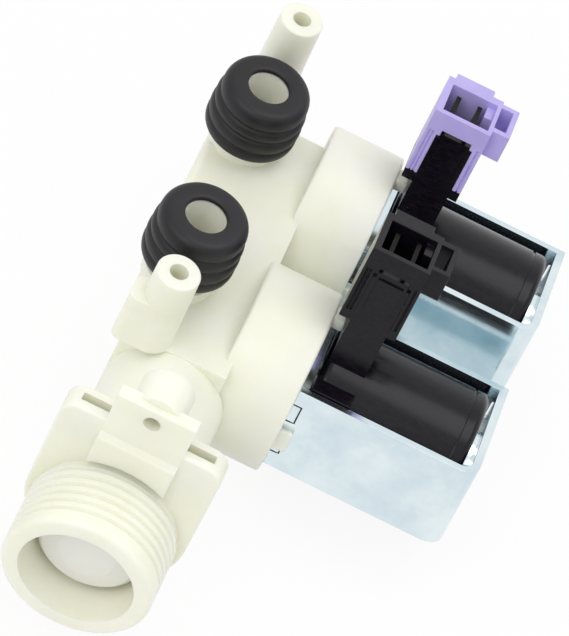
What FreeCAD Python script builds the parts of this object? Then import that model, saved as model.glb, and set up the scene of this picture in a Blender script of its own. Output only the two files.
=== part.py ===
import FreeCAD, Part
import os
import Sketcher

# Twin solenoid inlet valve for a washing machine, in millimetres.
# The origin is the centre of the inlet's front face. The inlet bore runs along +Y,
# the two valve axes run along +X, and the outlets and connectors point up along +Z.

doc = FreeCAD.newDocument("inlet_valve")

# Driving sizes in millimetres, angles in degrees
SIZES = {
    # Inlet spigot with its pipe thread, and the bore for the strainer
    "thread_diameter": 26.4,
    "spigot_length": 14.7,
    "spigot_lead": 0.9,
    "thread_relief": 1.7,
    "thread_relief_depth": 0.6,
    "inlet_bore": 20.2,
    "strainer_depth": 12.5,
    "regulator_bore": 17.0,
    "regulator_depth": 20.0,
    "gallery_bore": 15.6,
    "neck_diameter": 21.6,
    # Flange with its cored top edge and the screw tab
    "flange_width": 28.8,
    "flange_thickness": 5.0,
    "flange_top": 22.0,
    "flange_corner": 3.0,
    "flange_edge": 0.5,
    "slot_wall": 1.8,
    "slot_width": 1.6,
    "slot_depth": 8.0,
    "slot_end": 2.4,
    "tab_width": 14.0,
    "tab_top": 29.5,
    "tab_proud": 0.3,
    "tab_thickness": 2.7,
    "tab_pad_top": 18.6,
    "tab_pad_proud": 1.0,
    "tab_pad_relief": 27.8,
    "tab_hole_height": 26.4,
    "tab_hole": 3.0,
    "tab_boss": 9.2,
    "tab_boss_length": 8.2,
    "tab_root": 1.0,
    "tab_edge": 0.4,
    # Gallery that feeds both valves, and the spine that carries outlets and posts
    "gallery_height": 22.0,
    "gallery_front": 43.6,
    "gallery_end": 6.5,
    "gallery_wall": 2.0,
    "gallery_edge": 6.0,
    "spine_edge": 1.6,
    "spine_width": 11.8,
    "spine_depth": 14.0,
    "spine_plate": 2.0,
    # Valve chambers
    "valve_distance": 60.0,
    "valve_pitch": 35.6,
    "drum_diameter": 33.6,
    "drum_offset": 6.8,
    "drum_length": 13.5,
    "drum_floor": 2.8,
    "chamber_wall": 4.4,
    "drum_rim": 2.4,
    "drum_edge": 0.6,
    "seat_drop": 2.2,
    "port_width": 9.0,
    "port_depth": 3.4,
    "port_gap": 0.3,
    # Outlets and screw posts
    "outlet_offset": 6.8,
    "outlet_bore": 7.3,
    "seat_throat": 6.9,
    "outlet_wall": 1.5,
    "outlet_top": 24.3,
    "near_outlet_rise": 2.2,
    "outlet_collar": 13.0,
    "outlet_collar_height": 2.6,
    "near_post": 45.2,
    "far_post": 111.0,
    "post_top": 28.2,
    "post_diameter": 7.7,
    "post_draft": 0.35,
    "post_hole": 3.3,
    "post_hole_depth": 14.0,
    "post_edge": 0.4,
    "post_block_width": 5.8,
    "post_block_top": 21.6,
    "post_block_edge": 1.6,
    "post_block_drop": 0.4,
    # Rubber outlet sleeves
    "sleeve_height": 11.6,
    "sleeve_lip": 1.2,
    "sleeve_top": 15.6,
    "sleeve_ridge": 16.9,
    "sleeve_step": 0.2,
    "sleeve_groove": 0.5,
    "sleeve_ridge_start": 0.9,
    "sleeve_ridge_end": 2.1,
    "sleeve_round": 1.2,
    # Guide tube, diaphragm and armature
    "bonnet_thickness": 3.0,
    "bonnet_recess": 1.8,
    "bonnet_land": 3.4,
    "rim_thickness": 1.6,
    "rim_width": 1.8,
    "web_thickness": 0.8,
    "web_slack": 1.44,
    "rim_lap": 0.2,
    "centre_diameter": 13.6,
    "centre_thickness": 1.2,
    "insert_diameter": 12.4,
    "insert_thickness": 1.6,
    "insert_stem": 4.6,
    "insert_stem_length": 2.2,
    "pilot_bore": 1.6,
    "pilot_height": 0.6,
    "pilot_land": 0.8,
    "pilot_slope": 0.32,
    "armature_diameter": 8.0,
    "armature_setback": 8.6,
    "armature_edge": 0.4,
    "armature_travel": 2.4,
    "tube_wall": 0.85,
    "tube_end": 1.2,
    "end_room": 0.4,
    "seal_diameter": 4.8,
    "seal_thickness": 2.0,
    "seal_proud": 0.3,
    "spring_diameter": 4.4,
    "spring_wire": 0.5,
    "spring_turns": 8.0,
    "spring_pocket": 8.0,
    "running_clearance": 0.1,
    # Solenoid frame of two bent strips
    "solenoid_turn": 13.0,
    "frame_length": 33.2,
    "frame_width": 28.0,
    "strip_width": 16.8,
    "strip_thickness": 1.5,
    "bend_radius": 3.5,
    "finger_width": 3.4,
    "finger_height": 3.5,
    "finger_gap": 0.2,
    "notch_depth": 1.7,
    "finger_root": 0.2,
    # Coil
    "coil_diameter": 24.8,
    "coil_gap": 0.2,
    "coil_end_gap": 1.3,
    "coil_cap": 1.4,
    "coil_edge": 1.3,
    "coil_start_edge": 1.8,
    "coil_ring_place": 3.0,
    "coil_ring_width": 0.5,
    "coil_ring_depth": 0.25,
    "collar_half": 10.2,
    "cover_wall": 1.5,
    "collar_length": 7.2,
    "collar_height": 17.6,
    "bush_wall": 1.0,
    "inner_bush_length": 9.2,
    "outer_bush_length": 12.4,
    "bobbin_wall": 1.0,
    "bobbin_flange": 1.2,
    # Connector tongue, blades and housing
    "housing_start": 0.1,
    "housing_length": 10.5,
    "housing_width": 12.0,
    "housing_foot": 22.3,
    "housing_top": 35.7,
    "housing_wall": 1.2,
    "housing_rear_wall": 2.0,
    "housing_right_wall": 0.8,
    "mouth_floor": 26.1,
    "tongue_length": 6.8,
    "tongue_offset": 2.2,
    "tongue_rear": 5.0,
    "tongue_latch": 31.6,
    "latch_gap": 0.7,
    "latch_step": 0.6,
    "latch_step_height": 1.2,
    "panel_margin": 1.1,
    "panel_proud": 0.3,
    "panel_foot": 24.0,
    "leg_groove": 0.3,
    "shoulder_height": 1.9,
    "blade_width": 6.3,
    "blade_thickness": 0.8,
    "blade_pitch": 4.0,
    "blade_tip": 1.1,
    "blade_shift": 0.45,
    "blade_root": 6.0,
    "pocket_length": 3.2,
    "pocket_width": 9.3,
    "pocket_height": 5.4,
    "pocket_wall": 1.0,
    "pocket_shift": 0.55,
    "rail_length": 7.2,
    "rail_proud": 1.8,
    "rib_length": 1.5,
    "rib_width": 3.4,
    # Drum lugs that hold the frame
    "lug_width": 3.9,
    "lug_reach": 2.4,
    "lug_edge": 0.5,
    "lug_gap": 0.1,
    "lug_rise": 1.9,
    "lug_thickness": 1.2,
    "lug_drop": 1.8,
    # Strainer and flow regulator
    "strainer_front": 5.2,
    "strainer_diameter": 17.8,
    "strainer_rim": 1.5,
    "strainer_dome": 0.25,
    "strainer_shoulder": 1.0,
    "strainer_flat": 9.8,
    "strainer_wall": 0.8,
    "washer_thickness": 3.0,
    "washer_diameter": 15.2,
    "washer_hole": 4.6,
    "seat_lip": 0.5,
    "seat_cone": 1.0,
}


class Size:
    """A number that carries its formula, so that one value drives every feature bound to it."""

    def __init__(self, value, text):
        self.value = value
        self.text = text

    def __add__(self, other):
        other = as_size(other)
        return Size(self.value + other.value, f"({self.text} + {other.text})")

    def __sub__(self, other):
        other = as_size(other)
        return Size(self.value - other.value, f"({self.text} - {other.text})")

    def __mul__(self, other):
        other = as_size(other)
        return Size(self.value * other.value, f"({self.text} * {other.text})")

    def __truediv__(self, other):
        other = as_size(other)
        return Size(self.value / other.value, f"({self.text} / {other.text})")

    def __neg__(self):
        return Size(-self.value, f"(0 - {self.text})")


def as_size(value):
    if isinstance(value, Size):
        return value
    return Size(float(value), str(value))


class Sheet:
    """The driving sizes by name, backed by the spreadsheet's aliases."""

    def __init__(self, sizes):
        self.table = doc.addObject("Spreadsheet::Sheet", "sizes")
        for row, (alias, value) in enumerate(sizes.items(), start=1):
            self.table.set(f"A{row}", alias)
            self.table.set(f"B{row}", str(value))
            self.table.setAlias(f"B{row}", alias)
            setattr(self, alias, Size(value, f"sizes.{alias}"))


s = Sheet(SIZES)
doc.recompute()

ZERO = as_size(0)
# How far a cut runs past the face that it opens
PAST = as_size(1)
bodies = []


# Helpers that make bodies and features bound to the sheet
def new_body(label):
    body = doc.addObject("PartDesign::Body", label)
    body.Label = label
    bodies.append(body)
    return body


def bind(thing, prop, value):
    thing.setExpression(prop, as_size(value).text)


def place(thing, point):
    for letter, value in zip("xyz", point):
        bind(thing, f"Placement.Base.{letter}", value)


def polygon(body, name, role, corners):
    """A closed outline whose every corner is tied to the sheet."""
    sketch = body.newObject("Sketcher::SketchObject", name + "_outline")
    plane = next(item for item in body.Origin.OriginFeatures if item.Role == role)
    sketch.AttachmentSupport = (plane, "")
    sketch.MapMode = "FlatFace"
    corners = [(as_size(u), as_size(v)) for u, v in corners]
    points = [FreeCAD.Vector(u.value, v.value, 0) for u, v in corners]
    count = len(points)
    for index in range(count):
        sketch.addGeometry(Part.LineSegment(points[index], points[(index + 1) % count]), False)
    for index in range(count):
        sketch.addConstraint(Sketcher.Constraint("Coincident", index, 2, (index + 1) % count, 1))
    for index, pair in enumerate(corners):
        for kind, axis, value in (("DistanceX", -2, pair[0]), ("DistanceY", -1, pair[1])):
            if value.text == "0":
                sketch.addConstraint(Sketcher.Constraint("PointOnObject", index, 1, axis))
                continue
            number = sketch.addConstraint(Sketcher.Constraint(kind, -1, 1, index, 1, value.value))
            tag = f"{kind[-1].lower()}_{index}"
            sketch.renameConstraint(number, tag)
            sketch.setExpression(f"Constraints.{tag}", value.text)
    return sketch


def revolve(body, name, role, axis, corners, cut=False):
    sketch = polygon(body, name, role, corners)
    turned = body.newObject("PartDesign::Groove" if cut else "PartDesign::Revolution", name)
    turned.Profile = sketch
    turned.ReferenceAxis = (sketch, [axis])
    turned.Angle = 360.0
    return turned


def pad(body, name, role, corners, length):
    """A prism of the outline, centred on the plane of its sketch."""
    sketch = polygon(body, name, role, corners)
    prism = body.newObject("PartDesign::Pad", name)
    prism.Profile = sketch
    prism.SideType = "Symmetric"
    bind(prism, "Length", length)
    return prism


def block(body, name, low, high, cut=False):
    """A box between two corners."""
    kind = "PartDesign::SubtractiveBox" if cut else "PartDesign::AdditiveBox"
    solid = body.newObject(kind, name)
    low = [as_size(value) for value in low]
    high = [as_size(value) for value in high]
    for prop, start, end in zip(("Length", "Width", "Height"), low, high):
        bind(solid, prop, end - start)
    place(solid, low)
    return solid


DIRECTIONS = {
    "x": FreeCAD.Rotation(FreeCAD.Vector(0, 1, 0), 90),
    "y": FreeCAD.Rotation(FreeCAD.Vector(1, 0, 0), -90),
    "z": FreeCAD.Rotation(),
}


def rod(body, name, along, diameter, start, length, cut=False):
    """A cylinder along an axis from its start point."""
    kind = "PartDesign::SubtractiveCylinder" if cut else "PartDesign::AdditiveCylinder"
    solid = body.newObject(kind, name)
    solid.Placement = FreeCAD.Placement(FreeCAD.Vector(), DIRECTIONS[along])
    bind(solid, "Radius", as_size(diameter) / 2)
    bind(solid, "Height", length)
    place(solid, start)
    return solid


def fillet(body, name, radius, wanted):
    """A rounding on the edges of the tip that the test picks."""
    doc.recompute()
    base = body.Tip
    picked = [f"Edge{index}" for index, edge in enumerate(base.Shape.Edges, start=1) if wanted(edge)]
    feature = body.newObject("PartDesign::Fillet", name)
    feature.Base = (base, picked)
    bind(feature, "Radius", radius)
    body.Tip = feature
    return feature


def near_to(value, target, tolerance=0.01):
    return abs(value - as_size(target).value) < tolerance


def ring_at(axis, position, diameter):
    """Picks round edges about an axis direction at one position along it."""
    def wanted(edge):
        if not isinstance(edge.Curve, Part.Circle):
            return False
        centre = edge.Curve.Center
        return near_to(centre["xyz".index(axis)], position) and near_to(edge.Curve.Radius * 2, diameter)
    return wanted


def line_at(axis, spots):
    """Picks straight edges along an axis whose middle lies on the given coordinates."""
    def wanted(edge):
        if not isinstance(edge.Curve, Part.Line):
            return False
        if abs(edge.tangentAt(edge.FirstParameter)["xyz".index(axis)]) < 0.999:
            return False
        middle = edge.CenterOfMass
        return all(near_to(middle["xyz".index(letter)], value) for letter, value in spots.items())
    return wanted


# Places worked out from the driving sizes
flange_face = s.spigot_length
flange_back = flange_face + s.flange_thickness
outlet_x = -s.outlet_offset
drum_end = s.drum_offset + s.drum_length
drum_cavity = s.drum_offset + s.drum_floor
ledge_x = drum_end - s.bonnet_thickness - s.rim_thickness
seat_x = ledge_x - s.seat_drop
gallery_top = s.gallery_height / 2
outlet_outer = s.outlet_bore + s.outlet_wall * 2
valve_y = {"near": s.valve_distance, "far": s.valve_distance + s.valve_pitch}
post_y = {"near": s.near_post, "far": s.far_post}
riser_top = {"near": s.outlet_top + s.near_outlet_rise, "far": s.outlet_top}
gallery_back = valve_y["far"] + s.gallery_end
insert_base = seat_x + s.centre_thickness
pilot_face = insert_base + s.insert_thickness + s.pilot_height
seal_face = pilot_face + s.running_clearance
armature_start = seal_face + s.seal_proud
armature_end = armature_start + s.frame_length - s.armature_setback
tube_bore = s.armature_diameter + s.running_clearance * 2
tube_diameter = tube_bore + s.tube_wall * 2
tube_inner_end = armature_end + s.armature_travel + s.end_room
bonnet_diameter = s.drum_diameter - s.drum_rim * 2
chamber_bore = s.drum_diameter - s.chamber_wall * 2
bonnet_recess_diameter = bonnet_diameter - s.bonnet_land * 2
bush_bore = tube_diameter + s.running_clearance * 2
bush_diameter = bush_bore + s.bush_wall * 2
frame_end = drum_end + s.frame_length
frame_side = s.frame_width / 2
strip_edge = s.strip_width / 2
leg_back = drum_end + s.strip_thickness
plate_front = frame_end - s.strip_thickness
coil_start = leg_back + s.coil_gap
coil_end = plate_front - s.coil_end_gap
bobbin_end = coil_end - s.coil_cap
bobbin_bore = bush_diameter + s.running_clearance * 2
bobbin_tube = bobbin_bore + s.bobbin_wall * 2
cover_bore = s.coil_diameter - s.cover_wall * 2


def flange_rim(edge, half_flange):
    """Picks the outline of the flange's front and back faces."""
    spots = [corner.Point for corner in edge.Vertexes]
    flat = any(all(near_to(spot.y, face) for spot in spots) for face in (flange_face, flange_back))
    reach = half_flange.value - s.flange_corner.value
    return flat and all(abs(spot.x) > reach - 0.01 for spot in spots) and all(spot.z > -0.01 for spot in spots)


# Body: inlet spigot, flange, neck, gallery, chambers, outlets and posts in one moulding
def make_body():
    body = new_body("valve_body")
    half_flange = s.flange_width / 2
    rod(body, "flange_round", "y", s.flange_width, (ZERO, flange_face, ZERO), s.flange_thickness)
    block(body, "flange", (-half_flange, flange_face, ZERO), (half_flange, flange_back, s.flange_top))
    fillet(body, "flange_corners", s.flange_corner,
           lambda edge: any(line_at("y", {"x": side, "z": s.flange_top})(edge)
                            for side in (half_flange, -half_flange)))
    fillet(body, "flange_edges", s.flange_edge, lambda edge: flange_rim(edge, half_flange))
    tab_face = flange_face - s.tab_proud
    pad(body, "screw_tab", "YZ_Plane", [
        (tab_face, s.tab_top),
        (tab_face + s.tab_thickness, s.tab_top),
        (tab_face + s.tab_thickness, s.neck_diameter / 2 - s.tab_root),
        (tab_face - s.tab_pad_proud, s.neck_diameter / 2 - s.tab_root),
        (tab_face - s.tab_pad_proud, s.tab_pad_top),
        (tab_face, s.tab_pad_top + s.tab_pad_proud),
    ], s.tab_width)
    fillet(body, "tab_edges", s.tab_edge,
           lambda edge: any(line_at("x", {"y": depth, "z": s.tab_top})(edge)
                            for depth in (tab_face, tab_face + s.tab_thickness)))
    rod(body, "tab_boss", "y", s.tab_boss, (ZERO, tab_face + s.tab_thickness / 2, s.tab_hole_height),
        s.tab_boss_length - s.tab_thickness / 2)
    rod(body, "pad_relief", "y", s.tab_pad_relief, (ZERO, ZERO, ZERO), flange_face, cut=True)
    rod(body, "spigot", "y", s.thread_diameter, (ZERO, ZERO, ZERO), flange_face - s.thread_relief)
    fillet(body, "spigot_lead", s.spigot_lead, ring_at("y", 0, s.thread_diameter))
    rod(body, "thread_end", "y", s.thread_diameter - s.thread_relief_depth * 2, (ZERO, s.spigot_lead, ZERO),
        flange_back - s.spigot_lead)
    rod(body, "neck", "y", s.neck_diameter, (ZERO, flange_back, ZERO), s.gallery_front - flange_back)

    spine_half = s.spine_width / 2
    gallery_left = -s.neck_diameter / 2
    block(body, "gallery", (gallery_left, s.gallery_front, -gallery_top),
          (s.drum_offset + s.drum_floor / 2, gallery_back, gallery_top))
    fillet(body, "gallery_edge", s.gallery_edge, line_at("y", {"x": gallery_left, "z": -gallery_top}))
    block(body, "spine_plate", (outlet_x - spine_half, post_y["near"], gallery_top - s.spine_plate),
          (outlet_x, gallery_back, gallery_top))
    fillet(body, "spine_edge", s.spine_edge,
           line_at("y", {"x": outlet_x - spine_half, "z": gallery_top}))
    block(body, "spine", (outlet_x - spine_half + s.spine_edge, valve_y["far"], gallery_top - s.spine_depth),
          (outlet_x + spine_half, post_y["far"], gallery_top))
    block_front = post_y["near"] - s.post_diameter / 2
    block(body, "post_block", (outlet_x - spine_half, block_front, gallery_top - s.post_block_drop),
          (outlet_x, block_front + s.post_block_width, s.post_block_top))
    fillet(body, "post_block_edges", s.post_block_edge,
           lambda edge: any(line_at("z", {"x": outlet_x - spine_half, "y": spot})(edge)
                            for spot in (block_front, block_front + s.post_block_width)))
    rod(body, "foot_far", "z", s.spine_width, (outlet_x, post_y["far"], gallery_top - s.spine_depth),
        s.spine_depth)
    for name in ("near", "far"):
        post = body.newObject("PartDesign::AdditiveCone", f"post_{name}")
        bind(post, "Radius1", s.post_diameter / 2 + s.post_draft)
        bind(post, "Radius2", s.post_diameter / 2)
        bind(post, "Height", s.post_top - gallery_top)
        place(post, (outlet_x, post_y[name], gallery_top))
        rod(body, f"drum_{name}", "x", s.drum_diameter, (s.drum_offset, valve_y[name], ZERO), s.drum_length)
        rod(body, f"collar_{name}", "z", s.outlet_collar, (outlet_x, valve_y[name], gallery_top),
            s.outlet_collar_height)
    body.Tip = body.Group[-1]
    fillet(body, "drum_edges", s.drum_edge,
           lambda edge: any(ring_at("x", spot, s.drum_diameter)(edge) for spot in (s.drum_offset, drum_end)))
    fillet(body, "post_edges", s.post_edge, ring_at("z", s.post_top, s.post_diameter))

    rod(body, "strainer_bore", "y", s.inlet_bore, (ZERO, -s.spigot_lead, ZERO),
        s.strainer_depth + s.spigot_lead, cut=True)
    rod(body, "seat_bore", "y", s.regulator_bore, (ZERO, ZERO, ZERO), s.regulator_depth, cut=True)
    rod(body, "gallery_passage", "y", s.gallery_bore, (ZERO, ZERO, ZERO),
        gallery_back - s.gallery_wall, cut=True)
    for side, sign in (("left", -1), ("right", 1)):
        outer = (half_flange - s.slot_end) * sign
        inner = s.tab_width / 2 * sign
        block(body, f"slot_{side}",
              (outer if sign < 0 else inner, flange_face + s.slot_wall, s.flange_top - s.slot_depth),
              (inner if sign < 0 else outer, flange_face + s.slot_wall + s.slot_width, s.flange_top + PAST),
              cut=True)
    rod(body, "tab_hole", "y", s.tab_hole, (ZERO, ZERO, s.tab_hole_height),
        tab_face + s.tab_boss_length - s.tab_thickness / 2, cut=True)
    for name in ("near", "far"):
        axis_y = valve_y[name]
        rod(body, f"chamber_{name}", "x", chamber_bore, (drum_cavity, axis_y, ZERO), s.drum_length, cut=True)
        rod(body, f"bonnet_seat_{name}", "x", bonnet_diameter + s.running_clearance * 2,
            (ledge_x, axis_y, ZERO), s.drum_length, cut=True)
        port_foot = outlet_outer / 2 + s.port_gap
        for side, low in (("upper", port_foot), ("lower", -port_foot - s.port_depth)):
            block(body, f"port_{side}_{name}",
                  (s.drum_offset / 2, axis_y - s.port_width / 2, low),
                  (drum_cavity + PAST, axis_y + s.port_width / 2, low + s.port_depth), cut=True)
        rod(body, f"seat_tube_{name}", "x", outlet_outer, (outlet_x, axis_y, ZERO), seat_x - outlet_x)
        rod(body, f"riser_{name}", "z", outlet_outer, (outlet_x, axis_y, -outlet_outer / 2 - s.outlet_wall),
            riser_top[name] + outlet_outer / 2 + s.outlet_wall)
        rod(body, f"seat_passage_{name}", "x", s.seat_throat, (outlet_x, axis_y, ZERO),
            s.drum_length - outlet_x, cut=True)
        rod(body, f"riser_passage_{name}", "z", s.outlet_bore, (outlet_x, axis_y, -s.outlet_bore / 2),
            riser_top[name] + s.outlet_bore, cut=True)
        rod(body, f"post_hole_{name}", "z", s.post_hole,
            (outlet_x, post_y[name], s.post_top - s.post_hole_depth), s.post_hole_depth + PAST, cut=True)
        add_lugs(body, name)


def add_lugs(body, name):
    """Three lugs on the chamber's end face that keep the steel frame from turning."""
    lug_low = -s.lug_drop - s.lug_width / 2
    rim = bonnet_diameter / 2 + s.running_clearance * 2
    spots = {
        "front": ((-frame_side - s.lug_thickness, lug_low), (-frame_side, lug_low + s.lug_width)),
        "rear": ((frame_side, lug_low), (frame_side + s.lug_thickness, lug_low + s.lug_width)),
        "upper": ((-s.lug_width / 2, rim), (s.lug_width / 2, rim + s.lug_rise)),
    }
    reaches = {"front": s.lug_reach, "rear": s.lug_reach, "upper": s.tongue_offset - s.lug_gap}
    for spot, (low, high) in spots.items():
        lug = block(body, f"lug_{spot}_{name}", (ZERO, ZERO, ZERO),
                    (reaches[spot], high[0] - low[0], high[1] - low[1]))
        turn = FreeCAD.Rotation(FreeCAD.Vector(-1, 0, 0), s.solenoid_turn.value)
        lug.Placement = FreeCAD.Placement(FreeCAD.Vector(), turn)
        bind(lug, "Placement.Rotation.Angle", s.solenoid_turn)
        cosine = f"cos({s.solenoid_turn.text} * 1 deg)"
        sine = f"sin({s.solenoid_turn.text} * 1 deg)"
        bind(lug, "Placement.Base.x", drum_end)
        lug.setExpression("Placement.Base.y",
                          f"{valve_y[name].text} + {low[0].text} * {cosine} + {low[1].text} * {sine}")
        lug.setExpression("Placement.Base.z",
                          f"{low[1].text} * {cosine} - {low[0].text} * {sine}")
    ends = [drum_end + reach for reach in reaches.values()]
    fillet(body, f"lug_edges_{name}", s.lug_edge,
           lambda edge: any(all(near_to(corner.Point.x, end) for corner in edge.Vertexes) for end in ends)
           and abs(edge.CenterOfMass.y - valve_y[name].value) < s.drum_diameter.value / 2
           and edge.Length < s.drum_diameter.value / 4)


def seat_on_valve(body, name, turned=True):
    """Places a piece modelled about the X axis on its valve's axis."""
    angle = s.solenoid_turn.value if turned else 0
    body.Placement = FreeCAD.Placement(FreeCAD.Vector(), FreeCAD.Rotation(FreeCAD.Vector(-1, 0, 0), angle))
    if turned:
        bind(body, "Placement.Rotation.Angle", s.solenoid_turn)
    bind(body, "Placement.Base.y", valve_y[name])


# Strainer cup in the inlet bore
def make_strainer():
    body = new_body("inlet_strainer")
    cup = s.strainer_diameter / 2
    flat = s.strainer_flat / 2
    shoulder = s.strainer_front + s.strainer_shoulder
    back = s.strainer_depth
    revolve(body, "cup", "XY_Plane", "V_Axis", [
        (ZERO, s.strainer_front),
        (flat, s.strainer_front + s.strainer_dome),
        (cup - s.strainer_wall, shoulder),
        (cup, shoulder + s.strainer_wall),
        (cup, back - s.strainer_rim),
        (s.inlet_bore / 2 - s.running_clearance, back - s.strainer_rim),
        (s.inlet_bore / 2 - s.running_clearance, back),
        (cup - s.strainer_wall, back),
        (cup - s.strainer_wall, shoulder + s.strainer_wall * 2),
        (flat, s.strainer_front + s.strainer_dome + s.strainer_wall),
        (ZERO, s.strainer_front + s.strainer_wall),
    ])


# Flow regulator: a rubber washer on a plastic seat in the neck
def make_regulator():
    outer = s.regulator_bore / 2 - s.running_clearance
    washer_back = s.strainer_depth + s.washer_thickness
    seat = new_body("regulator_seat")
    revolve(seat, "seat", "XY_Plane", "V_Axis", [
        (s.washer_hole / 2, washer_back),
        (s.washer_diameter / 2 + s.running_clearance, washer_back),
        (s.washer_diameter / 2 + s.running_clearance, washer_back - s.washer_thickness / 2),
        (outer, washer_back - s.washer_thickness / 2),
        (outer, s.regulator_depth),
        (s.gallery_bore / 2 - s.seat_cone, s.regulator_depth),
        (s.washer_hole / 2, s.regulator_depth - s.seat_lip),
    ])
    washer = new_body("regulator_washer")
    revolve(washer, "washer", "XY_Plane", "V_Axis", [
        (s.washer_hole / 2 + s.seat_lip, s.strainer_depth),
        (s.washer_diameter / 2, s.strainer_depth),
        (s.washer_diameter / 2, washer_back),
        (s.washer_hole / 2, washer_back),
        (s.washer_hole / 2, s.strainer_depth + s.seat_lip),
    ])


# Ridged rubber sleeve on each outlet
def make_sleeve(name):
    body = new_body(f"outlet_sleeve_{name}")
    inner = outlet_outer / 2
    ridge = s.sleeve_ridge / 2
    step = s.sleeve_step / 2
    groove = s.sleeve_groove
    third = (s.sleeve_height - s.sleeve_lip) / 3
    corners = [(inner, ZERO), (ridge - groove, ZERO)]
    for tier in range(3):
        base = third * tier
        crest = ridge - step * tier
        corners.append((crest, base + s.sleeve_ridge_start))
        corners.append((crest, base + s.sleeve_ridge_end))
        corners.append((crest - groove, base + third))
    top = s.sleeve_top / 2
    corners += [
        (top, s.sleeve_height - s.sleeve_round),
        (top - s.sleeve_round, s.sleeve_height),
        (s.outlet_bore / 2, s.sleeve_height),
        (s.outlet_bore / 2, s.sleeve_height - s.sleeve_lip),
        (inner, s.sleeve_height - s.sleeve_lip),
    ]
    revolve(body, "sleeve", "XZ_Plane", "V_Axis", corners)
    place(body, (outlet_x, valve_y[name], riser_top[name] + s.sleeve_lip - s.sleeve_height))


# Diaphragm, its insert, and the guide tube that closes the chamber
def make_diaphragm(name):
    body = new_body(f"diaphragm_{name}")
    rim_outer = bonnet_diameter / 2
    rim_inner = rim_outer - s.rim_width
    rim_top = ledge_x + s.rim_thickness
    centre = s.centre_diameter / 2
    stem = s.insert_stem / 2 + s.running_clearance * 2
    revolve(body, "membrane", "XY_Plane", "H_Axis", [
        (ledge_x, rim_outer),
        (rim_top, rim_outer),
        (rim_top, rim_inner),
        (insert_base + s.web_thickness, centre + s.web_thickness),
        (insert_base, centre),
        (insert_base, stem),
        (seat_x, stem),
        (seat_x, centre),
        (insert_base, centre + s.web_slack),
        (rim_top - s.web_thickness, rim_inner + s.rim_lap),
        (ledge_x, rim_inner + s.rim_lap),
    ])
    seat_on_valve(body, name, turned=False)


def make_insert(name):
    body = new_body(f"diaphragm_insert_{name}")
    pilot = s.pilot_bore / 2
    base = insert_base + s.running_clearance
    revolve(body, "insert", "XY_Plane", "H_Axis", [
        (seat_x - s.insert_stem_length + s.centre_thickness, pilot),
        (seat_x - s.insert_stem_length + s.centre_thickness, s.insert_stem / 2),
        (base, s.insert_stem / 2),
        (base, s.insert_diameter / 2),
        (insert_base + s.insert_thickness, s.insert_diameter / 2),
        (insert_base + s.insert_thickness, pilot + s.pilot_land + s.pilot_slope),
        (pilot_face, pilot + s.pilot_land),
        (pilot_face, pilot),
    ])
    seat_on_valve(body, name, turned=False)


def make_guide_tube(name):
    body = new_body(f"guide_tube_{name}")
    disc_start = drum_end - s.bonnet_thickness
    disc = bonnet_diameter / 2
    revolve(body, "tube", "XY_Plane", "H_Axis", [
        (disc_start, bonnet_recess_diameter / 2),
        (disc_start, disc),
        (drum_end, disc),
        (drum_end, tube_diameter / 2),
        (tube_inner_end + s.tube_end, tube_diameter / 2),
        (tube_inner_end + s.tube_end, ZERO),
        (tube_inner_end, ZERO),
        (tube_inner_end, tube_bore / 2),
        (disc_start + s.bonnet_recess, tube_bore / 2),
        (disc_start + s.bonnet_recess, bonnet_recess_diameter / 2),
    ])
    seat_on_valve(body, name, turned=False)


# Armature with its seal and return spring
def make_armature(name):
    body = new_body(f"armature_{name}")
    outer = s.armature_diameter / 2
    pocket = s.spring_diameter / 2 + s.running_clearance * 2
    seal = s.seal_diameter / 2
    seal_back = seal_face + s.seal_thickness
    edge = s.armature_edge
    revolve(body, "plunger", "XY_Plane", "H_Axis", [
        (seal_back, ZERO),
        (seal_back, seal),
        (armature_start, seal),
        (armature_start, outer - edge),
        (armature_start + edge, outer),
        (armature_end - edge, outer),
        (armature_end, outer - edge),
        (armature_end, pocket),
        (armature_end - s.spring_pocket, pocket),
        (armature_end - s.spring_pocket, ZERO),
    ])
    seat_on_valve(body, name, turned=False)
    rubber = new_body(f"armature_seal_{name}")
    rod(rubber, "seal", "x", s.seal_diameter, (seal_face, ZERO, ZERO), s.seal_thickness)
    seat_on_valve(rubber, name, turned=False)


def make_spring(name):
    body = new_body(f"armature_spring_{name}")
    wire = s.spring_wire / 2
    start = armature_end - s.spring_pocket + wire
    length = tube_inner_end - armature_end + s.spring_pocket - s.spring_wire
    middle = s.spring_diameter / 2 - wire
    sketch = polygon(body, "wire", "XY_Plane", [
        (start - wire, middle),
        (start, middle + wire),
        (start + wire, middle),
        (start, middle - wire),
    ])
    helix = body.newObject("PartDesign::AdditiveHelix", "coils")
    helix.Profile = sketch
    helix.ReferenceAxis = (sketch, ["H_Axis"])
    helix.Mode = "height-turns-angle"
    bind(helix, "Height", length)
    bind(helix, "Turns", s.spring_turns)
    seat_on_valve(body, name, turned=False)


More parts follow.
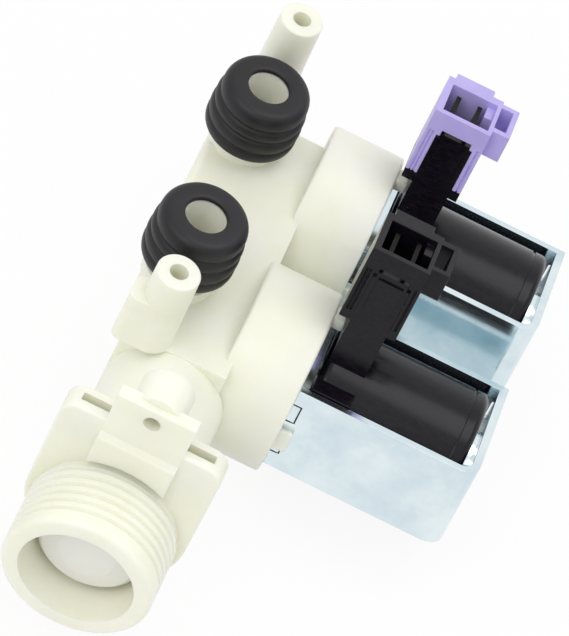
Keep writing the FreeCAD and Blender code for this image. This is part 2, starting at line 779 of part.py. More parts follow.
# Steel frame: a yoke (front plate and end plate) and a strap (leg and rear plate)
def make_yoke(name):
    body = new_body(f"frame_yoke_{name}")
    thickness = s.strip_thickness
    pad(body, "strip", "XY_Plane", [
        (drum_end, -frame_side),
        (frame_end, -frame_side),
        (frame_end, frame_side - thickness),
        (plate_front, frame_side - thickness),
        (plate_front, -frame_side + thickness),
        (drum_end, -frame_side + thickness),
    ], s.strip_width)
    fillet(body, "outer_bend", s.bend_radius, line_at("z", {"x": frame_end, "y": -frame_side}))
    fillet(body, "inner_bend", s.bend_radius - thickness,
           line_at("z", {"x": plate_front, "y": -frame_side + thickness}))
    for side, sign in (("upper", 1), ("lower", -1)):
        middle = s.finger_height * sign
        block(body, f"finger_{side}",
              (plate_front, frame_side - thickness - s.finger_root, middle - s.finger_width / 2),
              (frame_end, frame_side, middle + s.finger_width / 2))
        notch = s.finger_width / 2 + s.finger_gap
        block(body, f"notch_{side}", (drum_end - PAST, -frame_side - PAST, middle - notch),
              (drum_end + s.notch_depth, -frame_side + thickness + s.finger_root, middle + notch), cut=True)
    rod(body, "bush_hole", "x", bush_diameter, (plate_front - PAST, ZERO, ZERO), thickness + PAST * 2, cut=True)
    seat_on_valve(body, name)


def make_strap(name):
    body = new_body(f"frame_strap_{name}")
    thickness = s.strip_thickness
    pad(body, "strip", "XY_Plane", [
        (drum_end, -frame_side + thickness),
        (leg_back, -frame_side + thickness),
        (leg_back, frame_side - thickness),
        (frame_end, frame_side - thickness),
        (frame_end, frame_side),
        (drum_end, frame_side),
    ], s.strip_width)
    fillet(body, "outer_bend", s.bend_radius, line_at("z", {"x": drum_end, "y": frame_side}))
    fillet(body, "inner_bend", s.bend_radius - thickness,
           line_at("z", {"x": leg_back, "y": frame_side - thickness}))
    for side, sign in (("upper", 1), ("lower", -1)):
        middle = s.finger_height * sign
        block(body, f"finger_{side}", (drum_end, -frame_side, middle - s.finger_width / 2),
              (leg_back, -frame_side + thickness + s.finger_root, middle + s.finger_width / 2))
        notch = s.finger_width / 2 + s.finger_gap
        block(body, f"notch_{side}",
              (plate_front - s.finger_gap, frame_side - thickness - s.finger_root, middle - notch),
              (frame_end + PAST, frame_side + PAST, middle + notch), cut=True)
    rod(body, "tube_hole", "x", bush_bore, (drum_end - PAST, ZERO, ZERO), thickness + PAST * 2, cut=True)
    seat_on_valve(body, name)


# Steel bushes that lead the field along the guide tube
def make_bushes(name):
    spans = {
        "inner": (leg_back, s.inner_bush_length),
        "outer": (frame_end - s.outer_bush_length, s.outer_bush_length),
    }
    for place_name, (start, length) in spans.items():
        body = new_body(f"pole_bush_{place_name}_{name}")
        revolve(body, "bush", "XY_Plane", "H_Axis", [
            (start, bush_bore / 2),
            (start, bush_diameter / 2),
            (start + length, bush_diameter / 2),
            (start + length, bush_bore / 2),
        ])
        seat_on_valve(body, name, turned=False)


# Bobbin and copper winding
def make_bobbin(name):
    body = new_body(f"coil_bobbin_{name}")
    flange = cover_bore / 2
    revolve(body, "bobbin", "XY_Plane", "H_Axis", [
        (coil_start, bobbin_bore / 2),
        (coil_start, flange),
        (coil_start + s.bobbin_flange, flange),
        (coil_start + s.bobbin_flange, bobbin_tube / 2),
        (bobbin_end - s.bobbin_flange, bobbin_tube / 2),
        (bobbin_end - s.bobbin_flange, flange),
        (bobbin_end, flange),
        (bobbin_end, bobbin_bore / 2),
    ])
    seat_on_valve(body, name)
    copper = new_body(f"coil_winding_{name}")
    revolve(copper, "winding", "XY_Plane", "H_Axis", [
        (coil_start + s.bobbin_flange, bobbin_tube / 2),
        (coil_start + s.bobbin_flange, flange - s.running_clearance),
        (bobbin_end - s.bobbin_flange, flange - s.running_clearance),
        (bobbin_end - s.bobbin_flange, bobbin_tube / 2),
    ])
    seat_on_valve(copper, name)


# Black cover moulded over the coil, with the tongue that carries the connector
tongue_start = drum_end + s.tongue_offset
tongue_end = tongue_start + s.tongue_length
housing_front = -s.housing_width / 2
housing_start = drum_end + s.housing_start
housing_end = housing_start + s.housing_length
blade_middle = tongue_start + s.tongue_length / 2 - s.blade_shift
blade_y = (housing_front + s.housing_wall + s.housing_width / 2 - s.housing_rear_wall) / 2
blade_low = s.mouth_floor - s.blade_root
blade_high = s.housing_top - s.blade_tip


def blade_box(body, name, side, cut=False):
    centre = blade_middle + s.blade_pitch / 2 * side
    return block(body, name,
                 (centre - s.blade_thickness / 2, blade_y - s.blade_width / 2, blade_low),
                 (centre + s.blade_thickness / 2, blade_y + s.blade_width / 2, blade_high), cut=cut)


def make_cover(name):
    body = new_body(f"coil_cover_{name}")
    outer = s.coil_diameter / 2
    rod(body, "shell", "x", s.coil_diameter, (coil_start, ZERO, ZERO), coil_end - coil_start)
    fillet(body, "end_edge", s.coil_edge, ring_at("x", coil_end, s.coil_diameter))
    fillet(body, "start_edge", s.coil_start_edge, ring_at("x", coil_start, s.coil_diameter))
    ring_x = coil_end - s.coil_ring_place
    revolve(body, "ring_groove", "XY_Plane", "H_Axis", [
        (ring_x, outer - s.coil_ring_depth),
        (ring_x, outer + PAST),
        (ring_x + s.coil_ring_width, outer + PAST),
        (ring_x + s.coil_ring_width, outer - s.coil_ring_depth),
    ], cut=True)
    block(body, "collar", (coil_start, -outer + s.running_clearance, -s.collar_height / 2),
          (coil_start + s.collar_length, s.collar_half, s.collar_height / 2))
    block(body, "tongue", (tongue_start, housing_front + s.running_clearance, s.collar_height / 2),
          (tongue_end, s.tongue_rear, s.mouth_floor))
    step_z = s.tongue_latch - s.latch_step_height
    block(body, "latch_plate", (tongue_start, housing_front + s.running_clearance, s.collar_height / 2),
          (tongue_end, housing_front + s.housing_wall, step_z))
    block(body, "latch_tip", (tongue_start + s.latch_step, housing_front + s.running_clearance, step_z),
          (tongue_end - s.latch_step, housing_front + s.housing_wall, s.tongue_latch))
    block(body, "raised_panel", (tongue_start + s.panel_margin, housing_front - s.panel_proud, s.panel_foot),
          (tongue_end - s.panel_margin, housing_front + s.housing_wall, s.tongue_latch - s.panel_margin))
    block(body, "shoulder", (housing_start, housing_front + s.running_clearance,
                             s.housing_foot - s.shoulder_height),
          (housing_end, s.tongue_rear, s.housing_foot))
    rod(body, "coil_space", "x", cover_bore, (coil_start - PAST, ZERO, ZERO),
        bobbin_end - coil_start + PAST, cut=True)
    rod(body, "bore", "x", bobbin_tube, (coil_start, ZERO, ZERO), s.frame_length, cut=True)
    for side, sign in (("left", -1), ("right", 1)):
        blade_box(body, f"blade_slot_{side}", sign, cut=True)
    seat_on_valve(body, name)


def make_blades(name):
    body = doc.addObject("Part::Compound", f"terminal_blades_{name}")
    body.Label = f"terminal_blades_{name}"
    blades = []
    for side, sign in (("left", -1), ("right", 1)):
        blade = doc.addObject("Part::Box", f"blade_{side}_{name}")
        centre = blade_middle + s.blade_pitch / 2 * sign
        bind(blade, "Length", s.blade_thickness)
        bind(blade, "Width", s.blade_width)
        bind(blade, "Height", blade_high - blade_low)
        place(blade, (centre - s.blade_thickness / 2, blade_y - s.blade_width / 2, blade_low))
        blades.append(blade)
    body.Links = blades
    bodies.append(body)
    seat_on_valve(body, name)


# Connector housing snapped over the tongue
def make_housing(name):
    body = new_body(f"connector_housing_{name}")
    rear = s.housing_width / 2
    wall = s.housing_wall
    mouth_end = housing_end - s.housing_right_wall
    mouth_rear = rear - s.housing_rear_wall
    block(body, "case", (housing_start, housing_front, s.housing_foot), (housing_end, rear, s.housing_top))
    block(body, "rail", (housing_start + wall, rear, s.mouth_floor),
          (housing_start + wall + s.rail_length, rear + s.rail_proud, s.housing_top))
    pocket_front = -s.pocket_width / 2 + s.pocket_shift
    block(body, "latch_pocket", (housing_end, pocket_front, s.housing_top - s.pocket_height),
          (housing_end + s.pocket_length, pocket_front + s.pocket_width, s.housing_top))
    block(body, "pocket_hole", (housing_end, pocket_front + wall, s.housing_top - s.pocket_height - PAST),
          (housing_end + s.pocket_length - s.pocket_wall, pocket_front + s.pocket_width - wall,
           s.housing_top + PAST), cut=True)
    block(body, "mouth", (housing_start + wall, housing_front + wall, s.mouth_floor),
          (mouth_end, mouth_rear, s.housing_top + PAST), cut=True)
    block(body, "window", (tongue_start, housing_front - PAST, s.housing_foot - PAST),
          (tongue_end, housing_front + wall, s.tongue_latch + s.latch_gap - s.latch_step_height), cut=True)
    block(body, "window_top", (tongue_start + s.latch_step, housing_front - PAST, s.housing_foot - PAST),
          (tongue_end - s.latch_step, housing_front + wall, s.tongue_latch + s.latch_gap), cut=True)
    block(body, "tongue_socket", (tongue_start, housing_front - PAST, s.housing_foot - PAST),
          (tongue_end, s.tongue_rear, s.mouth_floor), cut=True)
    left_leg = (housing_start + tongue_start) / 2
    grooves = {
        "outer": left_leg - s.leg_groove,
        "inner": left_leg + s.leg_groove,
        "right": (tongue_end + housing_end) / 2,
    }
    for side, centre in grooves.items():
        block(body, f"leg_groove_{side}",
              (centre - s.leg_groove / 2, housing_front - PAST, s.housing_foot - PAST),
              (centre + s.leg_groove / 2, housing_front + s.leg_groove, s.tongue_latch), cut=True)
    block(body, "guide_rib", (mouth_end - s.rib_length, mouth_rear - s.rib_width, s.mouth_floor),
          (mouth_end, mouth_rear, s.housing_top - wall))
    seat_on_valve(body, name)


make_body()
make_strainer()
make_regulator()
for valve in ("near", "far"):
    make_sleeve(valve)
    make_diaphragm(valve)
    make_insert(valve)
    make_guide_tube(valve)
    make_armature(valve)
    make_spring(valve)
    make_yoke(valve)
    make_strap(valve)
    make_bushes(valve)
    make_bobbin(valve)
    make_cover(valve)
    make_blades(valve)
    make_housing(valve)
doc.recompute()

# Every object must be sound before anything is written
for item in doc.Objects:
    if "Invalid" in item.State or "Error" in item.State:
        raise RuntimeError(f"{item.Label} failed: {item.State}")
for body in bodies:
    if body.Shape.isNull() or not body.Shape.isValid():
        raise RuntimeError(f"{body.Label} has no valid shape")

os.makedirs("parts", exist_ok=True)
for body in bodies:
    body.Shape.exportStep(f"parts/{body.Label}.step")
print(f"{len(bodies)} nodes written")
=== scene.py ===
import math

import bpy
from mathutils import Matrix, Vector


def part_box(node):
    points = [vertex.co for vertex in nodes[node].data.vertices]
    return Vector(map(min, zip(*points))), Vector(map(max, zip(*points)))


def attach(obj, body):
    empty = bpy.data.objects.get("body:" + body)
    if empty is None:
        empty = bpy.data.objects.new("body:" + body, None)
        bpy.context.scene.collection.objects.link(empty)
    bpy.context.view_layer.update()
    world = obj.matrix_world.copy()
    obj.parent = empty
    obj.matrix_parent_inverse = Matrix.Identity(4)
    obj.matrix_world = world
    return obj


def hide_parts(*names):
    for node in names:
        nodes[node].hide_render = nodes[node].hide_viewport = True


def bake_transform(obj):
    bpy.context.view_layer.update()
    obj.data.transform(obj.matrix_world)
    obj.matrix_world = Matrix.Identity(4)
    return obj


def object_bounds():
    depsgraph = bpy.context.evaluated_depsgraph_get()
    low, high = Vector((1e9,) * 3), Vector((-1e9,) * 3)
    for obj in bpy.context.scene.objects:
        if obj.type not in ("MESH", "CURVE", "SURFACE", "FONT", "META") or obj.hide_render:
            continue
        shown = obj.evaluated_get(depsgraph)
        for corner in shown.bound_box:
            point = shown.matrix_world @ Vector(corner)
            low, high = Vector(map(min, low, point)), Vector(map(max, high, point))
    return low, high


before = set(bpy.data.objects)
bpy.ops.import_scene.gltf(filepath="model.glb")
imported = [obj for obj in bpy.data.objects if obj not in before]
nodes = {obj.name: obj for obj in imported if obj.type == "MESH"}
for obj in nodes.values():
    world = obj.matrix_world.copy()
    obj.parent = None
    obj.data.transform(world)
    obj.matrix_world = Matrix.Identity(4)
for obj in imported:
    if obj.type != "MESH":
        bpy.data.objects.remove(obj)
cad_low, cad_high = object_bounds()
bpy.ops.object.select_all(action="DESELECT")

# Valve moulding: inlet spigot, flange, gallery, chambers, outlets and posts in one piece.
# Natural polyamide, injection moulded: creamy, a little translucent and satin, warmer where it is thick.
# The hose thread is cut here as one helix, 14 turns to the inch, with a plain rounded lead-in.


def linear(code):
    """A colour written as sRGB hex, as the shader's linear RGBA."""
    parts = [int(code[i:i + 2], 16) / 255 for i in (1, 3, 5)]
    return tuple(p / 12.92 if p <= 0.04045 else ((p + 0.055) / 1.055) ** 2.4 for p in parts) + (1.0,)


def add_node(tree, kind, sockets=None, **settings):
    """One shader node with its settings; a socket is given a value or another node's output."""
    node = tree.nodes.new(kind)
    for name, value in settings.items():
        setattr(node, name, value)
    for name, value in (sockets or {}).items():
        if isinstance(value, bpy.types.NodeSocket):
            tree.links.new(value, node.inputs[name])
        else:
            node.inputs[name].default_value = value
    return node


def new_finish(name):
    """An empty node material with its shader and its place in object coordinates."""
    material = bpy.data.materials.new(name)
    material.use_nodes = True
    tree = material.node_tree
    shader = tree.nodes["Principled BSDF"]
    place = add_node(tree, "ShaderNodeTexCoord").outputs["Object"]
    return material, tree, shader, place


natural_polyamide, tree, shader, place = new_finish("natural_polyamide_moulded")
shader.inputs["Roughness"].default_value = 0.36
shader.inputs["IOR"].default_value = 1.53
shader.inputs["Subsurface Weight"].default_value = 0.5
shader.inputs["Subsurface Radius"].default_value = (1.0, 0.92, 0.6)
shader.inputs["Subsurface Scale"].default_value = 0.003
cloud = add_node(tree, "ShaderNodeTexNoise",
                 {"Vector": place, "Scale": 90.0, "Detail": 3.0, "Roughness": 0.5})
tone = add_node(tree, "ShaderNodeValToRGB", {"Fac": cloud.outputs["Fac"]})
tone.color_ramp.elements[0].position = 0.3
tone.color_ramp.elements[0].color = linear("#F2F2E0")
tone.color_ramp.elements[1].position = 0.7
tone.color_ramp.elements[1].color = linear("#F7F7EA")
tree.links.new(tone.outputs["Color"], shader.inputs["Base Color"])
# Fine mould grain, usually a few tenths of a millimetre, drawn at 0.7 mm so that it shows
grain = add_node(tree, "ShaderNodeTexNoise", {"Vector": place, "Scale": 1400.0, "Detail": 2.0})
ripple = add_node(tree, "ShaderNodeTexNoise", {"Vector": place, "Scale": 160.0, "Detail": 1.0})
height = add_node(tree, "ShaderNodeMath", {0: grain.outputs["Fac"], 1: ripple.outputs["Fac"]},
                  operation="ADD")
bump = add_node(tree, "ShaderNodeBump",
                {"Height": height.outputs["Value"], "Strength": 0.25, "Distance": 0.00006})
tree.links.new(bump.outputs["Normal"], shader.inputs["Normal"])


def own_copy(node, name):
    """A merged copy of a CAD node's mesh as a new object, selected and active."""
    copy = bpy.data.objects.new(name, nodes[node].data.copy())
    bpy.context.scene.collection.objects.link(copy)
    copy.data.materials.clear()
    bpy.ops.object.select_all(action="DESELECT")
    copy.select_set(True)
    bpy.context.view_layer.objects.active = copy
    bpy.ops.mesh.customdata_custom_splitnormals_clear()
    bpy.ops.object.mode_set(mode="EDIT")
    bpy.ops.mesh.select_all(action="SELECT")
    bpy.ops.mesh.remove_doubles(threshold=0.000002)
    bpy.ops.object.mode_set(mode="OBJECT")
    return copy


def eased_copy(node, name, radius):
    """A copy of a CAD node whose sharp edges are rounded a little, so that they catch the light."""
    copy = own_copy(node, name)
    bpy.ops.object.mode_set(mode="EDIT")
    bpy.ops.mesh.select_all(action="SELECT")
    bpy.ops.mesh.dissolve_limited(angle_limit=math.radians(0.8))
    bpy.ops.object.mode_set(mode="OBJECT")
    easing = copy.modifiers.new("eased_edges", "BEVEL")
    easing.width = radius
    easing.segments = 2
    easing.limit_method = "ANGLE"
    easing.angle_limit = math.radians(50)
    bpy.ops.object.modifier_apply(modifier="eased_edges")
    bpy.ops.object.shade_smooth_by_angle(angle=math.radians(40))
    flats = copy.modifiers.new("flat_faces", "WEIGHTED_NORMAL")
    flats.keep_sharp = True
    bpy.ops.object.modifier_apply(modifier="flat_faces")
    return copy


def dress(material, *names):
    """Gives CAD nodes whose shape is right their finish."""
    for name in names:
        nodes[name].data.materials.clear()
        nodes[name].data.materials.append(material)


def finish_piece(piece, material, body, node):
    """Puts a finished piece on its body, in place of the CAD node that it stands for."""
    piece.data.materials.clear()
    piece.data.materials.append(material)
    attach(piece, body)
    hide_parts(node)


moulding = own_copy("valve_body", "valve_moulding")

THREAD_PITCH = 0.001814
THREAD_CREST = 0.0132
THREAD_DEPTH = 0.0008
THREAD_START = 0.0021
THREAD_TURNS = 6
THREAD_STEPS = 72
CUTTER_PROUD = 0.0006
bpy.ops.object.select_all(action="DESELECT")
bpy.ops.mesh.primitive_circle_add(vertices=3, radius=0.001, location=(0, 0, 0))
cutter = bpy.context.object
cutter.name = "thread_cutter"
flank = THREAD_PITCH * 0.40
corners = (
    (THREAD_CREST - THREAD_DEPTH, 0.0),
    (THREAD_CREST + CUTTER_PROUD, flank),
    (THREAD_CREST + CUTTER_PROUD, -flank),
)
for vertex, (radius, along) in zip(cutter.data.vertices, corners):
    vertex.co = (radius, THREAD_START + along, 0.0)
screw = cutter.modifiers.new("thread_turns", "SCREW")
screw.axis = "Y"
screw.angle = math.radians(360)
screw.screw_offset = THREAD_PITCH
screw.iterations = THREAD_TURNS
screw.steps = THREAD_STEPS
screw.render_steps = THREAD_STEPS
screw.use_merge_vertices = True
bpy.ops.object.modifier_apply(modifier="thread_turns")
bpy.ops.object.mode_set(mode="EDIT")
bpy.ops.mesh.select_all(action="SELECT")
bpy.ops.mesh.remove_doubles(threshold=0.000001)
bpy.ops.mesh.select_all(action="DESELECT")
bpy.ops.mesh.select_non_manifold()
bpy.ops.mesh.edge_face_add()
bpy.ops.mesh.select_all(action="SELECT")
bpy.ops.mesh.normals_make_consistent(inside=False)
bpy.ops.object.mode_set(mode="OBJECT")
bpy.context.view_layer.objects.active = moulding
cut = moulding.modifiers.new("thread_cut", "BOOLEAN")
cut.operation = "DIFFERENCE"
cut.object = cutter
cut.solver = "EXACT"
bpy.ops.object.modifier_apply(modifier="thread_cut")
bpy.data.objects.remove(cutter)
bpy.ops.object.select_all(action="DESELECT")
moulding.select_set(True)
bpy.context.view_layer.objects.active = moulding
bpy.ops.object.shade_smooth_by_angle(angle=math.radians(28))
finish_piece(moulding, natural_polyamide, "valve", "valve_body")

# Strainer cup in the inlet: white polypropylene, thin and faintly translucent, pressed in by its rim.
# The flow regulator's seat behind it and the diaphragms' hard inserts are given the same finish.
strainer_white, tree, shader, place = new_finish("polypropylene_moulded_white")
shader.inputs["Base Color"].default_value = linear("#F1EEE8")
shader.inputs["Roughness"].default_value = 0.42
shader.inputs["IOR"].default_value = 1.49
shader.inputs["Subsurface Weight"].default_value = 0.25
shader.inputs["Subsurface Scale"].default_value = 0.002
mesh_grain = add_node(tree, "ShaderNodeTexNoise", {"Vector": place, "Scale": 900.0, "Detail": 2.0})
bump = add_node(tree, "ShaderNodeBump",
                {"Height": mesh_grain.outputs["Fac"], "Strength": 0.2, "Distance": 0.00005})
tree.links.new(bump.outputs["Normal"], shader.inputs["Normal"])
dress(strainer_white, "inlet_strainer", "regulator_seat", "diaphragm_insert_near", "diaphragm_insert_far")

# Outlet sleeves: black EPDM boots with three moulded ridges, stretched over the outlets.
# Matt rubber with a fine bloom that lifts the black a little in patches, also on the rubber pieces inside.
# Each sleeve is grown ring by ring: outside up, over the lip, and down its bore.
epdm, tree, shader, place = new_finish("epdm_rubber_moulded")
shader.inputs["Roughness"].default_value = 0.46
shader.inputs["IOR"].default_value = 1.45
bloom = add_node(tree, "ShaderNodeTexNoise", {"Vector": place, "Scale": 260.0, "Detail": 4.0})
tone = add_node(tree, "ShaderNodeValToRGB", {"Fac": bloom.outputs["Fac"]})
tone.color_ramp.elements[0].position = 0.35
tone.color_ramp.elements[0].color = linear("#0C0B10")
tone.color_ramp.elements[1].position = 0.75
tone.color_ramp.elements[1].color = linear("#141318")
tree.links.new(tone.outputs["Color"], shader.inputs["Base Color"])
fine = add_node(tree, "ShaderNodeTexNoise", {"Vector": place, "Scale": 2200.0, "Detail": 2.0})
bump = add_node(tree, "ShaderNodeBump",
                {"Height": fine.outputs["Fac"], "Strength": 0.35, "Distance": 0.00005})
tree.links.new(bump.outputs["Normal"], shader.inputs["Normal"])
dress(epdm, "regulator_washer", "diaphragm_near", "diaphragm_far", "armature_seal_near", "armature_seal_far")


def turned_ring(name, stations, centre):
    """A closed ring of revolution about Z, grown ring by ring from a circle through its stations."""
    bpy.ops.object.select_all(action="DESELECT")
    first_radius, first_height = stations[0]
    x, y, z = centre
    bpy.ops.mesh.primitive_circle_add(vertices=96, radius=first_radius, location=(x, y, z + first_height))
    ring = bpy.context.object
    ring.name = name
    bpy.ops.object.transform_apply(location=True, rotation=True, scale=True)
    bpy.ops.object.mode_set(mode="EDIT")
    bpy.ops.mesh.select_all(action="SELECT")
    radius, height = first_radius, first_height
    for next_radius, next_height in stations[1:]:
        bpy.ops.mesh.extrude_edges_move(TRANSFORM_OT_translate={"value": (0, 0, next_height - height)})
        grow = next_radius / radius
        bpy.ops.transform.resize(value=(grow, grow, 1), center_override=(x, y, z + next_height))
        radius, height = next_radius, next_height
    bpy.ops.mesh.select_all(action="DESELECT")
    bpy.ops.mesh.select_non_manifold()
    bpy.ops.mesh.bridge_edge_loops()
    bpy.ops.mesh.select_all(action="SELECT")
    bpy.ops.mesh.normals_make_consistent(inside=False)
    bpy.ops.object.mode_set(mode="OBJECT")
    return ring


SLEEVE_STATIONS = (
    (0.00525, 0.0001), (0.0076, 0.0), (0.0081, 0.0003), (0.0083, 0.0009), (0.00835, 0.0016),
    (0.0083, 0.0022), (0.00808, 0.0025), (0.00798, 0.00262), (0.00808, 0.00275), (0.00832, 0.0031),
    (0.0084, 0.0039), (0.00834, 0.0048), (0.0081, 0.0052), (0.0078, 0.0054), (0.0079, 0.0056),
    (0.00818, 0.006), (0.00825, 0.0067), (0.00815, 0.0074), (0.0078, 0.0078), (0.0076, 0.00798),
    (0.0077, 0.0082), (0.00786, 0.0085), (0.0079, 0.0092), (0.00784, 0.01), (0.0076, 0.0107),
    (0.00715, 0.01125), (0.0065, 0.01154), (0.0058, 0.0116), (0.0041, 0.0116), (0.00372, 0.01142),
    (0.00366, 0.011), (0.00366, 0.01045), (0.0051, 0.0103),
)
for valve in ("near", "far"):
    low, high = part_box(f"outlet_sleeve_{valve}")
    centre = ((low.x + high.x) / 2, (low.y + high.y) / 2, low.z)
    sleeve = turned_ring(f"ridged_sleeve_{valve}", SLEEVE_STATIONS, centre)
    soften = sleeve.modifiers.new("soften", "SUBSURF")
    soften.levels = 1
    soften.render_levels = 1
    bpy.ops.object.modifier_apply(modifier="soften")
    bpy.ops.object.shade_smooth()
    finish_piece(sleeve, epdm, "valve", f"outlet_sleeve_{valve}")

# Armatures and return springs inside the coils: ground ferritic stainless and drawn wire, bright, with fine
# turning lines round their axes.
stainless, tree, shader, place = new_finish("ferritic_stainless_turned")
shader.inputs["Base Color"].default_value = linear("#B4B4B6")
shader.inputs["Metallic"].default_value = 1.0
turning = add_node(tree, "ShaderNodeTexWave", {"Vector": place, "Scale": 900.0, "Distortion": 0.6},
                   wave_type="BANDS", bands_direction="X")
roughness = add_node(tree, "ShaderNodeMapRange",
                     {"Value": turning.outputs["Fac"], "To Min": 0.22, "To Max": 0.38})
tree.links.new(roughness.outputs["Result"], shader.inputs["Roughness"])
bump = add_node(tree, "ShaderNodeBump",
                {"Height": turning.outputs["Fac"], "Strength": 0.3, "Distance": 0.00002})
tree.links.new(bump.outputs["Normal"], shader.inputs["Normal"])
for valve in ("near", "far"):
    dress(stainless, f"armature_{valve}")
    spring = own_copy(f"armature_spring_{valve}", f"return_spring_{valve}")
    bpy.ops.object.shade_smooth_by_angle(angle=math.radians(40))
    spring.data.materials.append(stainless)
    low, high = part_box(f"armature_spring_{valve}")
    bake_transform(spring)
    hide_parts(f"armature_spring_{valve}")

# Steel frames: two bent strips round each coil, and the bushes in them, zinc plated and passivated.
# Bright and bluish, with a fine rolled grain along the strip and faint cloudy patches. Their edges are
# eased a little, so that they catch the light.
STEEL_EDGE = 0.00012
zinc, tree, shader, place = new_finish("zinc_plated_steel_passivated")
shader.inputs["Metallic"].default_value = 1.0
patches = add_node(tree, "ShaderNodeTexNoise",
                   {"Vector": place, "Scale": 110.0, "Detail": 5.0, "Roughness": 0.6})
tone = add_node(tree, "ShaderNodeValToRGB", {"Fac": patches.outputs["Fac"]})
tone.color_ramp.elements[0].position = 0.32
tone.color_ramp.elements[0].color = linear("#CDDEE5")
tone.color_ramp.elements[1].position = 0.68
tone.color_ramp.elements[1].color = linear("#E5EFF2")
tree.links.new(tone.outputs["Color"], shader.inputs["Base Color"])
stretch = add_node(tree, "ShaderNodeMapping", {"Vector": place, "Scale": (1.0, 14.0, 14.0)})
rolled = add_node(tree, "ShaderNodeTexNoise",
                  {"Vector": stretch.outputs["Vector"], "Scale": 180.0, "Detail": 4.0})
roughness = add_node(tree, "ShaderNodeMapRange",
                     {"Value": rolled.outputs["Fac"], "To Min": 0.08, "To Max": 0.2})
tree.links.new(roughness.outputs["Result"], shader.inputs["Roughness"])
bump = add_node(tree, "ShaderNodeBump",
                {"Height": rolled.outputs["Fac"], "Strength": 0.12, "Distance": 0.00002})
tree.links.new(bump.outputs["Normal"], shader.inputs["Normal"])
for valve in ("near", "far"):
    dress(zinc, f"pole_bush_inner_{valve}", f"pole_bush_outer_{valve}")
    for strip in ("yoke", "strap"):
        steel = eased_copy(f"frame_{strip}_{valve}", f"steel_{strip}_{valve}", STEEL_EDGE)
        finish_piece(steel, zinc, "valve", f"frame_{strip}_{valve}")

# Guide tubes, bobbins and coil covers: black glass-filled polyamide, injection moulded.
# Satin and faintly purple, with a fibre grain that runs along the coil and edges that catch the light.
MOULDED_EDGE = 0.00015
glass_filled, tree, shader, place = new_finish("glass_filled_polyamide_black")
shader.inputs["Specular IOR Level"].default_value = 0.25
fibre_room = add_node(tree, "ShaderNodeMapping", {"Vector": place, "Scale": (1.0, 2.5, 2.5)})
fibres = add_node(tree, "ShaderNodeTexNoise",
                  {"Vector": fibre_room.outputs["Vector"], "Scale": 700.0, "Detail": 3.0})
tone = add_node(tree, "ShaderNodeValToRGB", {"Fac": fibres.outputs["Fac"]})
tone.color_ramp.elements[0].position = 0.35
tone.color_ramp.elements[0].color = linear("#0D0A11")
tone.color_ramp.elements[1].position = 0.7
tone.color_ramp.elements[1].color = linear("#16131B")
tree.links.new(tone.outputs["Color"], shader.inputs["Base Color"])
roughness = add_node(tree, "ShaderNodeMapRange",
                     {"Value": fibres.outputs["Fac"], "To Min": 0.16, "To Max": 0.28})
tree.links.new(roughness.outputs["Result"], shader.inputs["Roughness"])
bump = add_node(tree, "ShaderNodeBump",
                {"Height": fibres.outputs["Fac"], "Strength": 0.12, "Distance": 0.00004})
tree.links.new(bump.outputs["Normal"], shader.inputs["Normal"])
for valve in ("near", "far"):
    dress(glass_filled, f"guide_tube_{valve}", f"coil_bobbin_{valve}")
    cover = eased_copy(f"coil_cover_{valve}", f"moulded_coil_{valve}", MOULDED_EDGE)
    finish_piece(cover, glass_filled, "valve", f"coil_cover_{valve}")

# Windings: enamelled copper wire of about 0.12 mm laid in layers, drawn as rings across the coil
# that are twice as coarse, so that they show.
enamelled, tree, shader, place = new_finish("enamelled_copper_wound")
shader.inputs["Base Color"].default_value = linear("#A6552A")
shader.inputs["Metallic"].default_value = 0.9
shader.inputs["Roughness"].default_value = 0.3
wires = add_node(tree, "ShaderNodeTexWave", {"Vector": place, "Scale": 1300.0}, bands_direction="X")
bump = add_node(tree, "ShaderNodeBump",
                {"Height": wires.outputs["Fac"], "Strength": 0.6, "Distance": 0.00005})
tree.links.new(bump.outputs["Normal"], shader.inputs["Normal"])
dress(enamelled, "coil_winding_near", "coil_winding_far")

# Terminal blades: stamped sheet brass, tin plated. The plating itself is a bright warm grey; it is drawn
# nearly black as painted shade, for the shadow inside the housings where the blades show only as dark lines.
blades_in_painted_shade, tree, shader, place = new_finish("tin_plated_brass_painted_shade")
# Nearly black base colour: painted shade for the blades' shadow inside their housings, not the tin's own
# colour.
shader.inputs["Base Color"].default_value = linear("#1C1A17")
shader.inputs["Metallic"].default_value = 1.0
smear = add_node(tree, "ShaderNodeTexNoise", {"Vector": place, "Scale": 500.0, "Detail": 3.0})
roughness = add_node(tree, "ShaderNodeMapRange",
                     {"Value": smear.outputs["Fac"], "To Min": 0.25, "To Max": 0.45})
tree.links.new(roughness.outputs["Result"], shader.inputs["Roughness"])
dress(blades_in_painted_shade, "terminal_blades_near", "terminal_blades_far")

# Connector housings, snapped over the covers' tongues: the near one of the covers' black polyamide, the far
# one of lilac polybutylene, satin and fully coloured through, with eased edges.
housing = eased_copy("connector_housing_near", "black_housing", MOULDED_EDGE)
finish_piece(housing, glass_filled, "valve", "connector_housing_near")
lilac, tree, shader, place = new_finish("polybutylene_moulded_lilac")
shader.inputs["Roughness"].default_value = 0.4
shader.inputs["IOR"].default_value = 1.52
shader.inputs["Subsurface Weight"].default_value = 0.15
shader.inputs["Subsurface Scale"].default_value = 0.001
cloud = add_node(tree, "ShaderNodeTexNoise", {"Vector": place, "Scale": 200.0, "Detail": 2.0})
tone = add_node(tree, "ShaderNodeValToRGB", {"Fac": cloud.outputs["Fac"]})
tone.color_ramp.elements[0].position = 0.3
tone.color_ramp.elements[0].color = linear("#B4A8E6")
tone.color_ramp.elements[1].position = 0.7
tone.color_ramp.elements[1].color = linear("#BEB3EC")
tree.links.new(tone.outputs["Color"], shader.inputs["Base Color"])
grain = add_node(tree, "ShaderNodeTexNoise", {"Vector": place, "Scale": 1600.0, "Detail": 2.0})
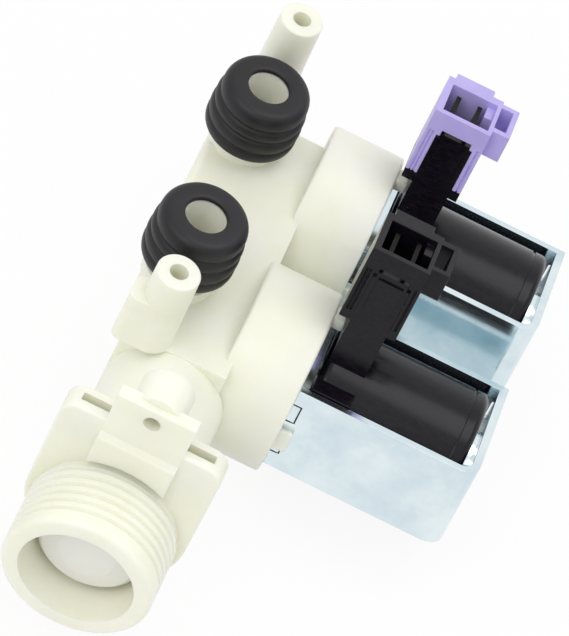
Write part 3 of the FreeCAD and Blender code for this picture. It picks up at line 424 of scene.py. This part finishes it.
bump = add_node(tree, "ShaderNodeBump",
                {"Height": grain.outputs["Fac"], "Strength": 0.25, "Distance": 0.00005})
tree.links.new(bump.outputs["Normal"], shader.inputs["Normal"])
housing = eased_copy("connector_housing_far", "lilac_housing", MOULDED_EDGE)
finish_piece(housing, lilac, "valve", "connector_housing_far")

# Floor: a pale table that keeps a faint shadow and is white to the camera and in reflections.
FLOOR_GAP = 0.0005
STAGE_CENTRE = (0.02, 0.06)
bpy.ops.object.select_all(action="DESELECT")
bpy.ops.mesh.primitive_plane_add(size=6.0, location=(*STAGE_CENTRE, cad_low.z - FLOOR_GAP))
floor = bpy.context.object
floor.name = "floor"
paper, tree, shader, place = new_finish("white_paper_table")
shader.inputs["Base Color"].default_value = linear("#F2F2F2")
shader.inputs["Roughness"].default_value = 0.9
glow = add_node(tree, "ShaderNodeEmission", {"Color": (1, 1, 1, 1), "Strength": 1.0})
rays = add_node(tree, "ShaderNodeLightPath")
seen = add_node(tree, "ShaderNodeMath", {0: rays.outputs["Is Camera Ray"], 1: rays.outputs["Is Glossy Ray"]},
                operation="MAXIMUM")
seen = add_node(tree, "ShaderNodeMath", {0: seen.outputs["Value"], 1: rays.outputs["Is Transmission Ray"]},
                operation="MAXIMUM")
share = add_node(tree, "ShaderNodeMath", {0: seen.outputs["Value"], 1: 0.92}, operation="MULTIPLY")
mix = add_node(tree, "ShaderNodeMixShader", {"Fac": share.outputs["Value"], 1: shader.outputs["BSDF"],
                                             2: glow.outputs["Emission"]})
tree.links.new(mix.outputs["Shader"], tree.nodes["Material Output"].inputs["Surface"])
floor.data.materials.append(paper)

# World and lamps: a white tent that the camera and reflections see at full strength and that lights at
# three quarters of it, a large soft lamp from the front left and a weaker one from above and behind.
world = bpy.data.worlds.new("white_tent")
bpy.context.scene.world = world
world.use_nodes = True
tree = world.node_tree
backdrop = tree.nodes["Background"]
backdrop.inputs["Color"].default_value = (1, 1, 1, 1)
rays = add_node(tree, "ShaderNodeLightPath")
clear = add_node(tree, "ShaderNodeMath", {0: rays.outputs["Is Camera Ray"], 1: rays.outputs["Is Glossy Ray"]},
                 operation="MAXIMUM")
level = add_node(tree, "ShaderNodeMapRange", {"Value": clear.outputs["Value"], "To Min": 0.75, "To Max": 1.0})
tree.links.new(level.outputs["Result"], backdrop.inputs["Strength"])


def soft_lamp(name, place, size, power):
    """A square area lamp that faces the middle of the stage."""
    lamp = bpy.data.lights.new(name, "AREA")
    lamp.size = size
    lamp.energy = power
    holder = bpy.data.objects.new(name, lamp)
    bpy.context.scene.collection.objects.link(holder)
    holder.location = place
    aim = Vector((*STAGE_CENTRE, 0.0)) - Vector(place)
    holder.rotation_euler = aim.to_track_quat("-Z", "Y").to_euler()


soft_lamp("front_softbox", place=(-0.35, -0.45, 0.75), size=0.6, power=2.0)
soft_lamp("top_softbox", place=(0.20, 0.20, 0.80), size=0.5, power=1.5)

# Camera: the photograph's own view, a long lens above the inlet, rolled with the tilt of the picture.
lens_view = bpy.data.cameras.new("photo_view")
lens_view.lens = 283.02
lens_view.sensor_width = 36.0
lens_view.clip_start = 0.05
lens_view.clip_end = 20.0
camera = bpy.data.objects.new("photo_view", lens_view)
bpy.context.scene.collection.objects.link(camera)
right = Vector((0.89695551, 0.31073411, 0.31450774))
upward = Vector((-0.44126999, 0.67330138, 0.59325041))
backward = Vector((-0.02741536, -0.67090205, 0.74103903))
camera_place = Vector((-0.010504, -0.508022, 0.640481))
camera.matrix_world = Matrix.Translation(camera_place) @ Matrix((
    (right.x, upward.x, backward.x, 0),
    (right.y, upward.y, backward.y, 0),
    (right.z, upward.z, backward.z, 0),
    (0, 0, 0, 1),
))
bpy.context.scene.camera = camera
bpy.context.scene.view_settings.view_transform = "Standard"
